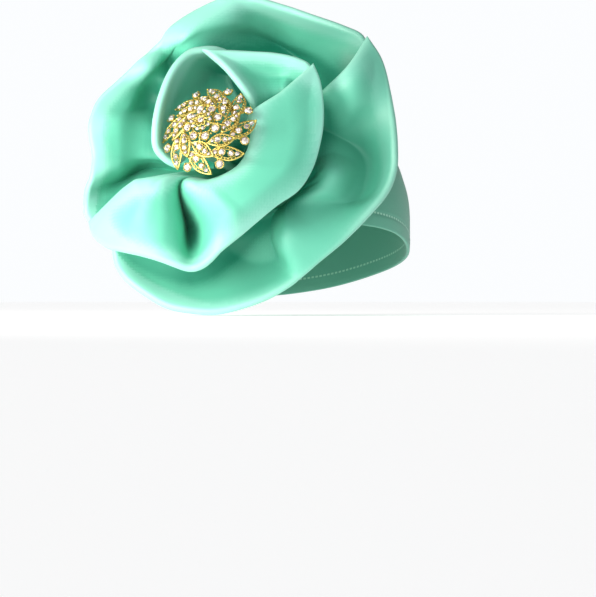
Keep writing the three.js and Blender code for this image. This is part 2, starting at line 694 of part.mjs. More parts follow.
const metal = flowerBodies();
for (let k = 0; k < ribCount; k++) metal.push(ribBody(k));
for (const tier of leafTiers) {
  metal.push(ringBody(tier));
  for (let k = 0; k < aroundTier; k++) {
    metal.push(leafBody(tier, k));
    leafStones.forEach(({ along, diameter }, i) => {
      const name = `stone_${tier.name}_${2 * k + i + 1}`;
      addStone(name, onLeaf(tier, k, along, 0), tier.raise, diameter);
    });
  }
}
for (const tier of tabTiers) {
  if (tier.ring) metal.push(ringBody(tier));
  for (let k = 0; k < aroundTier; k++) {
    if (tier.stem) metal.push(stemBody(tier, k));
    metal.push(tabBody(tier, k));
    addStone(`stone_${tier.name}_${k + 1}`, onTier(tier, k, 0, 0), tier.raise, tabStone);
  }
}
const heart = new THREE.Mesh(stoneGeometry(flower.stone / 2), crystal);
heart.name = 'stone_heart';
heart.position.z = broochDome + flower.raise * tierRise + (0.58 * flower.stone) / 2 + stoneGap;
brooch.add(heart);
const setting = wasm.Manifold.union(metal);
brooch.add(meshOf(setting, 'brooch_setting', gilt));

// The pin is one bent wire behind the brooch, with both ends under a rib.
const pinReach = pinLength / 2;
const pinTop = ribFoot(pinReach + pinWire / 2) - stoneGap;
const pinRun = new THREE.CatmullRomCurve3([
  new THREE.Vector3(-pinReach, 0, pinTop),
  new THREE.Vector3(-pinReach, 0, pinTop - pinWire),
  new THREE.Vector3(-pinReach + pinWire, 0, pinTop - 2 * pinWire),
  new THREE.Vector3(pinReach - pinWire, 0, pinTop - 2 * pinWire),
  new THREE.Vector3(pinReach, 0, pinTop - pinWire),
  new THREE.Vector3(pinReach, 0, pinTop),
]);
const wire = new THREE.Shape();
wire.absarc(0, 0, pinWire / 2, 0, 2 * Math.PI);
const pin = new THREE.Mesh(
  new THREE.ExtrudeGeometry(wire, { extrudePath: pinRun, steps: 10, curveSegments: 3 }),
  gilt,
);
pin.name = 'brooch_pin';
pin.rotation.z = Math.PI / ribCount;
brooch.add(pin);

// The brooch settles on the petals: from deep among them it comes out along its own axis to the
// first place that is the sewn gap clear of them.
const petalsBehind = wasm.Manifold.union(petalBodies);
const settleWay = new THREE.Vector3(0, 0, 1).applyQuaternion(brooch.quaternion);
brooch.updateMatrix();
const laid = setting.add(bodyFrom(pin.geometry).rotate([0, 0, 180 / ribCount]))
  .transform(brooch.matrix.elements);
const isClear = (slide) => {
  const moved = laid.translate(settleWay.clone().multiplyScalar(slide).toArray());
  return moved.minGap(petalsBehind, 2 * sewnGap) >= sewnGap;
};
let clear = -broochDome;
while (!isClear(clear)) clear += petalWall;
let blocked = clear - petalWall;
for (let halving = 0; halving < 8; halving++) {
  const middle = (clear + blocked) / 2;
  if (isClear(middle)) {
    clear = middle;
  } else {
    blocked = middle;
  }
}
brooch.position.addScaledVector(settleWay, clear);

export default part;
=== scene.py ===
"""A ready-tied gele head tie: a close cap of stretch cloth, a rosette of five folded satin petals sewn
to its front, and a domed gilt brooch set with clear stones. Metres, +Z up, the brow towards -Y."""
from math import cos, pi, radians, sin

import bpy
import numpy as np
from mathutils import Matrix, Vector


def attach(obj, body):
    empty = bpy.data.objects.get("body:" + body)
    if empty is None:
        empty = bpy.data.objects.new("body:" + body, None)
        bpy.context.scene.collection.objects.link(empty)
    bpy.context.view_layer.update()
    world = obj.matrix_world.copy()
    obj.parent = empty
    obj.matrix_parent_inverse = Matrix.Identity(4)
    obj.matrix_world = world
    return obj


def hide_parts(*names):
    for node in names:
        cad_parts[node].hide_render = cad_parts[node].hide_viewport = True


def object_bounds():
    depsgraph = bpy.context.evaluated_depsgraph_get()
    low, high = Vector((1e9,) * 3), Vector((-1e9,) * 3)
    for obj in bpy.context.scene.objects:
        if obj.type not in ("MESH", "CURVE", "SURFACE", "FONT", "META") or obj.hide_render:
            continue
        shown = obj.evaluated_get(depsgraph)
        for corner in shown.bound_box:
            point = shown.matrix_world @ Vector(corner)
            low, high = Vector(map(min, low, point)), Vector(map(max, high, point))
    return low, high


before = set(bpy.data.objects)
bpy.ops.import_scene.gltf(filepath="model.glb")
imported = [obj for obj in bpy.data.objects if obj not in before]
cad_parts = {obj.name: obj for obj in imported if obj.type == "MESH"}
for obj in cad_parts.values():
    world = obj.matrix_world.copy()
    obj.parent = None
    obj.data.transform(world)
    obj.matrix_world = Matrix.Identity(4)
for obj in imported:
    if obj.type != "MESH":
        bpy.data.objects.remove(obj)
cad_box = [list(corner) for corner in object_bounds()]


# The view. The rosette is sewn on turned a little to the right of the brow, towards -X, and the lens
# looks straight into its face from far enough away that the petals keep their proportions.
rosette_turn = radians(-18)
across_face = np.array([cos(rosette_turn), sin(rosette_turn), 0.0])
out_of_face = np.array([sin(rosette_turn), -cos(rosette_turn), 0.0])
upward = np.array([0.0, 0.0, 1.0])

lens_place = 0.00438 * across_face + 2.2 * out_of_face - 0.0558 * upward
lens = bpy.data.cameras.new("lens")
lens.lens = 181.75
lens.sensor_width = 36
camera = bpy.data.objects.new("camera", lens)
camera.location = lens_place
camera.rotation_euler = (pi / 2, 0, rosette_turn)
bpy.context.scene.collection.objects.link(camera)
bpy.context.scene.camera = camera
bpy.context.scene.view_settings.view_transform = "Standard"


# The cap. A close-fitting cap of smooth stretch cloth, cut high over the brow and deep at the nape,
# with a turned hem held by one row of stitches and a seam down the middle of the back.
head_width = 0.164
head_length = 0.196
crown_height = 0.086
crown_squareness = 2.1
cap_wall = 0.002
hem_width = 0.011
stitch_line = 0.85 * hem_width
stitch_pitch, wale_pitch, course_pitch = 0.0034, 0.0011, 0.0009
hem_proud, stitch_pull, seam_proud, cloth_pull = 0.0005, 0.0007, 0.0006, 0.0005
rim_drop = crown_height * np.array([0.03, 0.09, 0.27, 0.42, 0.56, 0.62])


def through(rows, places):
    """A smooth curve through the rows of an array, read at places from 0 to the last row's number.
    Between two rows it is the cubic that leaves and reaches them along the line of their neighbours."""
    rows = np.concatenate([[2 * rows[0] - rows[1]], rows, [2 * rows[-1] - rows[-2]]])
    places = np.asarray(places, float)
    start = np.clip(places.astype(int), 0, len(rows) - 4)
    share = (places - start).reshape((-1,) + (1,) * (rows.ndim - 1))
    a, b, c, d = (rows[start + k] for k in range(4))
    rise, fall, span = (c - a) / 2, (d - b) / 2, c - b
    return b + share * (rise + share * (3 * span - 2 * rise - fall + share * (rise + fall - 2 * span)))


def ease(share):
    """0 below 0, 1 above 1, and a smooth step between them."""
    share = np.clip(share, 0, 1)
    return share * share * (3 - 2 * share)


def rim_height(turn):
    """Height of the cap's rim at a turn round the head from the brow: a smooth curve through six
    drops, 36 degrees apart, the same on both sides and carried on round both ends as in a mirror."""
    folded = np.abs((np.degrees(turn) + 180) % 360 - 180)
    mirrored = np.concatenate([rim_drop[1:2], rim_drop, rim_drop[-2:-1]])
    return -through(mirrored, 1 + folded.ravel() / 36).reshape(folded.shape)


def crown_share(height, top):
    """The cap's breadth at a height as a share of its widest: a superellipse above the brow line,
    drawn in by a seventh of the height squared below it."""
    rising = (1 - np.clip(height / top, 0, 1) ** crown_squareness) ** (1 / crown_squareness)
    return np.where(height >= 0, rising, 1 - 0.14 * (height / top) ** 2)


def cap_skin(turn, rise, outset):
    """Places on the cap: rise runs from the rim, 0, to the crown, 1, outset is the distance out
    from the head. The cloth is proud of the plain dome along its hem, and pulled in at its stitches
    and at the back seam, and faint pulls fan out from the petals."""
    top = crown_height + outset
    low = rim_height(turn)
    height = low + (top - low) * np.sin(rise * pi / 2)
    share = crown_share(height, top)
    above_rim = height - low
    on_cloth = ease(outset / cap_wall)
    hem = hem_proud * ease(1.5 - above_rim / hem_width)
    stitches = -stitch_pull * np.exp(-((above_rim - stitch_line) / 0.0009) ** 2)
    back = np.abs((turn % (2 * pi)) - pi) * head_width / 2
    seam = seam_proud * (np.exp(-((back - 0.003) / 0.0022) ** 2) - np.exp(-(back / 0.0010) ** 2))
    pulls = cloth_pull * np.sin(7 * turn + 9 * rise) * np.sin(5 * rise * pi) ** 2 * ease(3 * rise)
    proud = on_cloth * (hem + stitches + seam * ease(4 * (1 - rise)) + pulls * ease(3 * (1 - rise)))
    reach = (outset + proud) * np.ones_like(turn)
    return np.stack([
        (head_width / 2 + reach) * share * np.sin(turn),
        -(head_length / 2 + reach) * share * np.cos(turn),
        height,
    ], -1)


def triangles_of(numbers):
    """Two triangles for each cell of a grid of numbers, whether of vertices or of places on cloth."""
    a, b, c, d = numbers[:-1, :-1], numbers[1:, :-1], numbers[1:, 1:], numbers[:-1, 1:]
    return np.stack([a, b, c, a, c, d], 2).reshape((-1, 3) + numbers.shape[2:])


def piece_of(name, places, triangles, material, cloth=None, marks=None):
    """Makes a smooth piece. Triangles with two equal corners are dropped, as are unused places, and
    all are turned over if the sum of their signed volumes is negative. Cloth is the place on the
    flat cloth, in metres, of each triangle's corners, and marks are numbers kept for each place."""
    whole = ((triangles != np.roll(triangles, 1, 1)).all(1)).nonzero()[0]
    triangles = triangles[whole]
    corners = places[triangles]
    volume = np.einsum("ij,ij->", corners[:, 0], np.cross(corners[:, 1], corners[:, 2]))
    order = [0, 1, 2] if volume > 0 else [0, 2, 1]
    used, numbers = np.unique(triangles[:, order], return_inverse=True)
    mesh = bpy.data.meshes.new(name)
    mesh.vertices.add(len(used))
    mesh.vertices.foreach_set("co", places[used].astype(np.float32).ravel())
    mesh.loops.add(numbers.size)
    mesh.loops.foreach_set("vertex_index", numbers.astype(np.int32).ravel())
    mesh.polygons.add(len(triangles))
    mesh.polygons.foreach_set("loop_start", np.arange(0, numbers.size, 3, dtype=np.int32))
    mesh.update(calc_edges=True)
    mesh.shade_smooth()
    if cloth is not None:
        layer = mesh.uv_layers.new(name="cloth")
        layer.data.foreach_set("uv", cloth[whole][:, order].astype(np.float32).ravel())
    for mark, numbers_there in (marks or {}).items():
        layer = mesh.attributes.new(mark, "FLOAT", "POINT")
        layer.data.foreach_set("value", numbers_there[used].astype(np.float32))
    mesh.materials.append(material)
    piece = bpy.data.objects.new(name, mesh)
    bpy.context.scene.collection.objects.link(piece)
    return piece


class Value:
    """A number that changes over a surface. Arithmetic on it adds Math nodes to its finish."""

    def __init__(self, finish, socket):
        self.finish = finish
        self.socket = socket

    def math(self, operation, *others, clamp=False):
        settings = {"operation": operation, "use_clamp": clamp}
        return self.finish.node("ShaderNodeMath", settings, dict(enumerate((self, *others))))

    def __add__(self, other):
        return self.math("ADD", other)

    def __mul__(self, other):
        return self.math("MULTIPLY", other)

    def __sub__(self, other):
        return self.math("SUBTRACT", other)

    def __rsub__(self, other):
        return (self * -1) + other

    def __truediv__(self, other):
        return self.math("DIVIDE", other)

    def eased(self, start, end, low, high):
        """Low where this number is at start, high where it is at end, and a smooth step between."""
        sockets = {"Value": self, "From Min": start, "From Max": end, "To Min": low, "To Max": high}
        return self.finish.node("ShaderNodeMapRange", {"interpolation_type": "SMOOTHSTEP"}, sockets)

    __radd__ = __add__
    __rmul__ = __mul__


class Finish:
    """The look of one cloth, metal or stone: a node material with a single surface shader."""

    def __init__(self, name, **constants):
        self.material = bpy.data.materials.new(name)
        self.material.use_nodes = True
        self.tree = self.material.node_tree
        self.surface = self.tree.nodes["Principled BSDF"]
        for socket, value in constants.items():
            name = socket.replace("_", " ").title().replace("Ior", "IOR")
            self.surface.inputs[name].default_value = value

    def node(self, kind, settings=None, sockets=None, take=0):
        """Adds a node: its settings first, a ramp's stops among them, then its sockets' values or
        links, by name or number. What comes back is the output that take names or numbers."""
        node = self.tree.nodes.new(kind)
        for key, value in (settings or {}).items():
            if key == "stops":
                while len(node.color_ramp.elements) < len(value):
                    node.color_ramp.elements.new(1)
                for element, (position, color) in zip(node.color_ramp.elements, value):
                    element.position = position
                    element.color = color
            else:
                setattr(node, key, value)
        for key, value in (sockets or {}).items():
            self.feed(node.inputs[key], value)
        return Value(self, node.outputs[take])

    def feed(self, socket, value):
        if isinstance(value, Value):
            self.tree.links.new(value.socket, socket)
        else:
            socket.default_value = value

    def mix(self, factor, one, other):
        """A colour between two: one where the factor is 0, the other where it is 1."""
        settings = {"data_type": "RGBA"}
        return self.node("ShaderNodeMix", settings, {0: factor, 6: one, 7: other}, take=2)

    def noise(self, vector, scale, detail=3.0):
        sockets = {"Vector": vector, "Scale": scale, "Detail": detail, "Roughness": 0.55}
        return self.node("ShaderNodeTexNoise", None, sockets)

    def parts(self, value, kind="ShaderNodeSeparateXYZ"):
        """The three numbers of a place, or of a colour, each as a value of its own."""
        first = self.node(kind, None, {0: value})
        return [Value(self, output) for output in first.socket.node.outputs]

    def stretched(self, vector, scale):
        return self.node("ShaderNodeMapping", None, {"Vector": vector, "Scale": scale})

    def relief(self, height, depth, under=None):
        """A normal bent by a height from 0 to 1 that stands for a depth in metres."""
        sockets = {"Height": height, "Distance": depth, "Strength": 1.0}
        if under is not None:
            sockets["Normal"] = under
        return self.node("ShaderNodeBump", None, sockets)

    def wear(self, **inputs):
        for socket, value in inputs.items():
            self.feed(self.surface.inputs[socket.replace("_", " ").title()], value)


cap_cloth = Finish("cap_cloth", sheen_weight=0.25, sheen_roughness=0.45, specular_ior_level=0.35)
on_cap = cap_cloth.node("ShaderNodeUVMap", {"uv_map": "cloth"})
in_space = cap_cloth.node("ShaderNodeTexCoord", take="Object")
round_cap, cap_up, _ = cap_cloth.parts(on_cap)
wales = (round_cap * (2 * pi / wale_pitch)).math("SINE")
courses = (cap_up * (2 * pi / course_pitch)).math("SINE")
knit = (wales * courses) * 0.5 + 0.5
tone = cap_cloth.noise(in_space, 22.0)
fuzz = cap_cloth.noise(in_space, 900.0, detail=2.0)
stitch_band = cap_up.math("COMPARE", stitch_line, 0.0007)
stitch_run = (round_cap * (2 * pi / stitch_pitch)).math("SINE").math("GREATER_THAN", -0.35)
stitch = stitch_band * stitch_run
cap_green = cap_cloth.mix(tone, (0.105, 0.385, 0.27, 1), (0.135, 0.44, 0.315, 1))
cap_green = cap_cloth.mix(knit * 0.22, cap_green, (0.065, 0.27, 0.19, 1))
cap_green = cap_cloth.mix(stitch, cap_green, (0.34, 0.68, 0.53, 1))
cap_knit = cap_cloth.relief(knit, 0.00005)
cap_relief = cap_cloth.relief(stitch + fuzz * 0.25, 0.00018, cap_knit)
cap_cloth.wear(base_color=cap_green, roughness=0.52 + tone * 0.16, normal=cap_relief)

# The outer skin runs from the crown down to the rim, rolls round it and runs up inside.
turns = np.linspace(0, 2 * pi, 289)
outside = [(rise, cap_wall, 0.0) for rise in np.linspace(1, 0, 97)]
roll = [(0.0, cap_wall * (1 + cos(a)) / 2, -cap_wall / 2 * sin(a)) for a in np.linspace(0, pi, 9)[1:-1]]
inside = [(rise, 0.0, 0.0) for rise in np.linspace(0, 1, 61)]
profile = np.array(outside + roll + inside)
rings = np.stack([
    cap_skin(turns, rise, outset) + np.array([0, 0, below]) for rise, outset, below in profile
])
numbers = np.arange(rings[..., 0].size).reshape(rings.shape[:2])
numbers[:, -1] = numbers[:, 0]
numbers[0] = numbers[0, 0]
numbers[-1] = numbers[-1, 0]
run = np.broadcast_to(turns * (head_width + head_length) / 4, rings.shape[:2])
rise_over_rim = rings[..., 2] - rim_height(turns)
cap = piece_of(
    "stretch_cap",
    rings.reshape(-1, 3),
    triangles_of(numbers),
    cap_cloth.material,
    cloth=triangles_of(np.stack([run, rise_over_rim], -1)),
)
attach(cap, "root")
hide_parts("cap")


# The petals. Five strips of heavy satin, each doubled over so that its free edge is a soft round
# fold, wound round the middle and caught to the cap along their raw edges underneath.
rosette_radius = 0.112
rosette_depth = 0.075
petal_wall = 0.0024
petal_fold = 0.0054
sewn_gap = 0.0003
dent_depth, gather_depth = 0.00035, 0.0006
seat_across = -0.25 * head_width / 2
seat_up = 0.46 * crown_height
outer_hub = (-0.14, 0.03)
inner_hub = (-0.31, 0.14)

# Each row is a section across a petal: the turn of its sewn root, then a turn in degrees, a reach
# as a share of the rosette's radius and a lift as a share of its depth for waist, breast and rim.
outer_right = [
    [52, 39, 0.614, -0.02, 40, 0.854, 0.09, 44, 1.107, -0.07],
    [40, 33, 0.615, -0.02, 33, 0.834, 0.17, 35, 1.081, -0.02],
    [26, 26, 0.584, -0.1, 24, 0.781, 0.12, 25, 1.035, 0.04],
    [12, 17, 0.537, -0.16, 14, 0.709, -0.08, 14, 0.999, 0.12],
    [0, 5, 0.547, -0.04, 4, 0.767, -0.14, 4, 0.981, 0.2],
    [-12, -8, 0.592, 0.26, -6, 0.793, -0.06, -5, 0.975, 0.24],
    [-24, -20, 0.568, 0.3, -20, 0.77, 0.08, -14, 0.944, 0.28],
    [-36, -32, 0.486, 0.28, -28, 0.672, 0.2, -26, 0.88, 0.32],
    [-48, -45, 0.443, 0.29, -42, 0.624, 0.36, -40, 0.837, 0.34],
    [-58, -53, 0.462, 0.36, -57, 0.593, 0.48, -53, 0.823, 0.36],
    [-64, -60, 0.457, 0.28, -65, 0.622, 0.41, -62, 0.843, 0.38],
    [-70, -68, 0.434, 0.06, -71, 0.584, 0.09, -69, 0.866, 0.4],
    [-78, -81, 0.452, 0, -82, 0.609, 0.04, -79, 0.902, 0.41],
    [-90, -92, 0.489, -0.02, -94, 0.667, 0.04, -90, 0.946, 0.4],
    [-100, -100, 0.534, -0.03, -103, 0.728, 0, -99, 0.99, 0.37],
    [-110, -109, 0.584, -0.07, -111, 0.793, -0.06, -108, 1.019, 0.32],
    [-120, -118, 0.624, -0.11, -119, 0.843, -0.07, -116, 1.044, 0.24],
    [-130, -126, 0.649, -0.15, -127, 0.873, -0.12, -125, 1.047, 0.14],
    [-140, -134, 0.677, -0.18, -134, 0.891, -0.15, -133, 1.052, 0.05],
    [-150, -141, 0.7, -0.19, -141, 0.896, -0.16, -139, 1.038, -0.04],
    [-160, -149, 0.715, -0.2, -146, 0.89, -0.19, -145, 0.985, -0.1],
]
outer_left = [
    [224, 206, 0.595, -0.23, 210, 0.805, -0.23, 211, 1.018, -0.12],
    [214, 199, 0.594, -0.23, 202, 0.812, -0.23, 201, 1.042, -0.11],
    [206, 192, 0.593, -0.39, 196, 0.818, -0.34, 197, 1.03, -0.12],
    [198, 185, 0.59, -0.68, 190, 0.806, -0.52, 192, 0.999, -0.18],
    [191, 180, 0.583, -0.52, 184, 0.793, -0.31, 186, 0.958, -0.22],
    [182, 177, 0.595, -0.46, 178, 0.792, -0.32, 179, 0.943, -0.28],
    [172, 168, 0.608, -0.5, 170, 0.805, -0.35, 172, 0.973, -0.32],
    [162, 159, 0.632, -0.58, 162, 0.821, -0.38, 166, 0.996, -0.36],
    [152, 150, 0.682, -0.84, 155, 0.809, -0.52, 157, 0.991, -0.44],
    [142, 142, 0.71, -0.87, 145, 0.827, -0.58, 147, 0.939, -0.5],
    [132, 134, 0.734, -0.74, 135, 0.828, -0.5, 137, 0.917, -0.54],
    [122, 125, 0.754, -0.82, 125, 0.846, -0.66, 127, 0.919, -0.58],
    [112, 117, 0.746, -0.47, 116, 0.859, -0.36, 117, 0.959, -0.55],
    [102, 108, 0.736, -0.44, 105, 0.894, -0.38, 105, 1.006, -0.56],
    [90, 96, 0.741, -0.63, 93, 0.898, -0.51, 95, 1.051, -0.55],
    [78, 86, 0.751, -0.84, 84, 0.887, -0.79, 86, 1.048, -0.55],
    [66, 75, 0.745, -1, 74, 0.856, -0.98, 75, 1.023, -0.56],
    [54, 64, 0.732, -1.06, 63, 0.848, -0.92, 64, 1.027, -0.52],
    [44, 53, 0.708, -1.03, 53, 0.865, -0.76, 53, 1.076, -0.48],
    [34, 42, 0.68, -0.92, 44, 0.858, -0.6, 46, 1.113, -0.46],
    [24, 33, 0.648, -0.68, 35, 0.832, -0.54, 40, 1.072, -0.46],
]
inner_front = [
    [34, 27, 0.265, 0.54, 34, 0.525, 0.44, 37, 0.785, 0.2],
    [22, 12, 0.256, 0.6, 21, 0.504, 0.52, 29, 0.762, 0.26],
    [10, -2, 0.25, 0.64, 9, 0.49, 0.58, 19, 0.727, 0.33],
    [-2, -16, 0.248, 0.66, -2, 0.484, 0.64, 8, 0.694, 0.4],
    [-14, -32, 0.251, 0.69, -15, 0.474, 0.7, -2, 0.668, 0.46],
    [-26, -46, 0.254, 0.72, -26, 0.471, 0.77, -17, 0.646, 0.54],
    [-38, -59, 0.254, 0.74, -39, 0.45, 0.84, -31, 0.626, 0.62],
    [-50, -72, 0.257, 0.76, -53, 0.445, 0.9, -46, 0.582, 0.7],
    [-62, -83, 0.264, 0.77, -67, 0.456, 0.94, -62, 0.596, 0.78],
    [-74, -93, 0.276, 0.78, -77, 0.492, 0.96, -74, 0.641, 0.84],
    [-86, -102, 0.287, 0.78, -88, 0.539, 0.86, -84, 0.707, 0.89],
    [-96, -109, 0.297, 0.78, -95, 0.562, 0.65, -90, 0.77, 0.9],
    [-104, -116, 0.305, 0.73, -100, 0.583, 0.36, -95, 0.809, 0.9],
    [-111, -123, 0.312, 0.49, -106, 0.587, 0.2, -99, 0.824, 0.89],
    [-119, -128, 0.32, 0.57, -109, 0.583, 0.56, -105, 0.827, 0.89],
    [-128, -133, 0.345, 0.62, -117, 0.586, 0.74, -112, 0.828, 0.85],
    [-138, -136, 0.366, 0.64, -126, 0.602, 0.78, -120, 0.849, 0.78],
    [-148, -138, 0.38, 0.62, -133, 0.612, 0.76, -127, 0.89, 0.69],
    [-158, -140, 0.389, 0.6, -139, 0.609, 0.69, -133, 0.936, 0.57],
    [-168, -140, 0.394, 0.56, -146, 0.603, 0.6, -140, 0.951, 0.42],
    [-176, -141, 0.416, 0.52, -150, 0.59, 0.49, -146, 0.923, 0.3],
]
inner_top = [
    [112, 38, 0.314, 0.38, 77, 0.425, 0.3, 97, 0.558, 0.24],
    [86, 35, 0.377, 0.28, 63, 0.458, 0.17, 83, 0.561, 0.2],
    [64, 33, 0.443, 0.22, 52, 0.503, 0.1, 67, 0.599, 0.16],
    [46, 33, 0.499, 0.21, 44, 0.57, 0.09, 54, 0.67, 0.13],
    [32, 32, 0.526, 0.21, 39, 0.617, 0.12, 44, 0.737, 0.12],
    [20, 29, 0.525, 0.2, 34, 0.625, 0.12, 37, 0.767, 0.12],
    [8, 23, 0.498, 0.17, 28, 0.587, 0.1, 30, 0.717, 0.1],
]
centre_left = [
    [226, 221, 0.13, 0.38, 219, 0.219, 0.49, 222, 0.284, 0.57],
    [210, 200, 0.133, 0.3, 201, 0.244, 0.41, 207, 0.32, 0.6],
    [194, 177, 0.14, 0.22, 188, 0.263, 0.36, 192, 0.353, 0.61],
    [178, 158, 0.159, 0.17, 171, 0.278, 0.29, 176, 0.352, 0.62],
    [162, 142, 0.18, 0.12, 155, 0.297, 0.25, 157, 0.368, 0.58],
    [146, 127, 0.205, 0.08, 138, 0.323, 0.17, 139, 0.41, 0.52],
    [130, 112, 0.235, -0.03, 121, 0.359, 0.06, 125, 0.468, 0.44],
    [116, 103, 0.265, -0.11, 108, 0.407, -0.04, 114, 0.524, 0.34],
    [104, 94, 0.3, -0.19, 98, 0.447, -0.15, 105, 0.562, 0.26],
    [92, 85, 0.328, -0.24, 90, 0.465, -0.22, 97, 0.569, 0.21],
    [80, 77, 0.35, -0.27, 82, 0.471, -0.24, 89, 0.571, 0.16],
    [68, 70, 0.364, -0.27, 74, 0.471, -0.24, 80, 0.557, 0.1],
]


def cap_lift(x, z):
    """Height of the cap's outside over the rosette's plane: the front root of the quadratic that
    says that a place lies on the cap's ellipse at that height. It is far below where there is none."""
    share = crown_share(z, crown_height + cap_wall)
    a = (head_width / 2 + cap_wall) * share + 1e-9
    b = (head_length / 2 + cap_wall) * share + 1e-9
    c, s = cos(rosette_turn), sin(rosette_turn)
    square = (s / a) ** 2 + (c / b) ** 2
    middle = x * s * c * (1 / b ** 2 - 1 / a ** 2)
    inside = middle ** 2 - square * (x ** 2 * ((c / a) ** 2 + (s / b) ** 2) - 1)
    over = (inside > 0) & (z < crown_height + cap_wall)
    return np.where(over, (middle + np.sqrt(np.maximum(inside, 0))) / square, -1.0)


seat_lift = float(cap_lift(seat_across, seat_up))


def sections_of(rows, hub, root_radius):
    """The four points of each section, as across, lift and up in the rosette's frame: the root on a
    circle round the seat, halfway into the cap's cloth, and the others polar round the hub."""
    rows = np.array(rows, float)
    root_turn = np.radians(rows[:, 0])
    across = seat_across + root_radius * np.cos(root_turn)
    up = seat_up + root_radius * np.sin(root_turn)
    points = [np.stack([across, cap_lift(across, up) - cap_wall / 2, up], -1)]
    for first in (1, 4, 7):
        turn, reach, lift = np.radians(rows[:, first]), rows[:, first + 1], rows[:, first + 2]
        points.append(np.stack([
            seat_across + rosette_radius * (hub[0] + reach * np.cos(turn)),
            seat_lift + rosette_depth * lift,
            seat_up + rosette_radius * (hub[1] + reach * np.sin(turn)),
        ], -1))
    return np.stack(points, 1)


def fold_half(distance):
    """Half of the doubled cloth's thickness at a distance from its fold: a round edge that eases
    down to the pressed thickness over three folds' width."""
    round_edge = petal_fold / 2
    edge = np.sqrt(np.maximum(0, round_edge ** 2 - np.maximum(0, round_edge - distance) ** 2))
    pressed = ease((distance - round_edge) / (3 * petal_fold))
    return edge + (petal_wall / 2 - round_edge) * pressed


def run_along(grid, axis):
    """Distance run along a grid of places from its first row or column."""
    steps = np.linalg.norm(np.diff(grid, axis=axis), axis=-1)
    return np.concatenate([np.zeros_like(steps.take([0], axis)), np.cumsum(steps, axis)], axis)


def places_to(last, count, start_step, end_step):
    """Places from 0 to last, evenly spaced but for a few close ones where the cloth rolls over."""
    close = np.array([0, 0.05, 0.19, 0.4, 0.68, 1.0, 1.6])
    middle = np.linspace(2.4 * start_step, last - 2.4 * end_step, count)
    return np.concatenate([close * start_step, middle, last - close[::-1] * end_step])


def petal_middle(rows, hub, root_radius, fine, seed):
    """The middle surface of a petal: smooth through its sections both ways, eased off the cap where
    it would touch, with soft dents all over and small gathers towards its root. Also its normals."""
    sections = sections_of(rows, hub, root_radius)
    last = len(rows) - 1
    step = petal_fold / 2 / 0.012
    along = places_to(last, fine * last, step, step)
    over = places_to(3, 64, 0.02, petal_fold / 2 / 0.026)
    grid = through(sections, along).transpose(1, 0, 2)
    grid = through(grid, over).transpose(1, 0, 2)
    over_cap = cap_lift(grid[..., 0], grid[..., 2]) + (petal_wall / 2 + 2 * sewn_gap) * ease(over / 0.2)
    apart = grid[..., 1] - over_cap
    eased = over_cap + (apart + np.sqrt(apart ** 2 + 0.002 ** 2)) / 2
    grid[..., 1] = np.where(over_cap > -0.5, eased, grid[..., 1])
    s, t = run_along(grid, 0), run_along(grid, 1)
    normal = np.cross(np.gradient(grid, axis=0), np.gradient(grid, axis=1))
    normal /= np.linalg.norm(normal, axis=-1, keepdims=True) + 1e-12
    phase = np.random.default_rng(seed).uniform(0, 2 * pi, 6)
    dents = (
        np.sin(s / 0.021 + t / 0.034 + phase[0]) * np.sin(t / 0.017 + phase[1])
        + 0.6 * np.sin(s / 0.012 - t / 0.015 + phase[2]) * np.sin(s / 0.047 + phase[3])
    )
    gathers = np.sin(s / 0.0021 + phase[4] + 0.8 * np.sin(s / 0.011 + phase[5])) * ease(1 - over / 0.9)
    return grid + normal * (dent_depth * dents + gather_depth * gathers)[..., None], normal


def flower_face(middles):
    """How high the rosette's face stands on a grid of 2 mm cells: the highest petal or the cap over
    each cell, averaged with a bell of 9 mm."""
    cell, low, count = 0.002, -0.2, 200
    x = low + cell * (np.arange(count) + 0.5)
    face = np.maximum(cap_lift(*np.meshgrid(x, x, indexing="ij")), -0.05)
    for middle in middles:
        spots = ((middle[..., [0, 2]] - low) / cell).astype(int).reshape(-1, 2)
        np.maximum.at(face, (spots[:, 0], spots[:, 1]), middle[..., 1].ravel())
    bell = np.exp(-0.5 * (cell * np.arange(-14, 15) / 0.009) ** 2)
    bell /= bell.sum()
    for _ in range(2):
        face = np.apply_along_axis(np.convolve, 0, face, bell, "same").T
    return lambda x, z: face[((x - low) / cell).astype(int), ((z - low) / cell).astype(int)]


def petal_piece(name, grid, normal, face):
    """A petal from its middle surface: half its thickness to either side, and the two skins sewn
    together round every edge. Sunk is how far each place lies below the rosette's averaged face, which sets
    the satin's painted shade and painted crest highlights."""
    s, t = run_along(grid, 0), run_along(grid, 1)
    rim = t[:, -1:] - t
    side = s[:, grid.shape[1] // 2]
    fold = np.minimum(rim, np.minimum(side, side[-1] - side)[:, None])
    half = fold_half(np.maximum(fold, 0))
    half[:, 0] = 0
    front = grid + normal * half[..., None]
    back = grid - normal * half[..., None]
    numbers = np.arange(front[..., 0].size).reshape(front.shape[:2])
    behind = numbers + numbers.size
    behind[[0, -1]] = numbers[[0, -1]]
    behind[:, [0, -1]] = numbers[:, [0, -1]]
    cloth = triangles_of(np.stack([np.broadcast_to(side[:, None], rim.shape), rim], -1))
    local = np.concatenate([front.reshape(-1, 3), back.reshape(-1, 3)])
    return piece_of(
        name,
        local[:, :1] * across_face + local[:, 1:2] * out_of_face + local[:, 2:] * upward,
        np.concatenate([triangles_of(numbers), triangles_of(behind)[:, ::-1]]),
        petal_satin.material,
        cloth=np.concatenate([cloth, cloth[:, ::-1]]),
        marks={"fold": np.tile(fold.ravel(), 2), "sunk": face(local[:, 0], local[:, 2]) - local[:, 1]},
    )


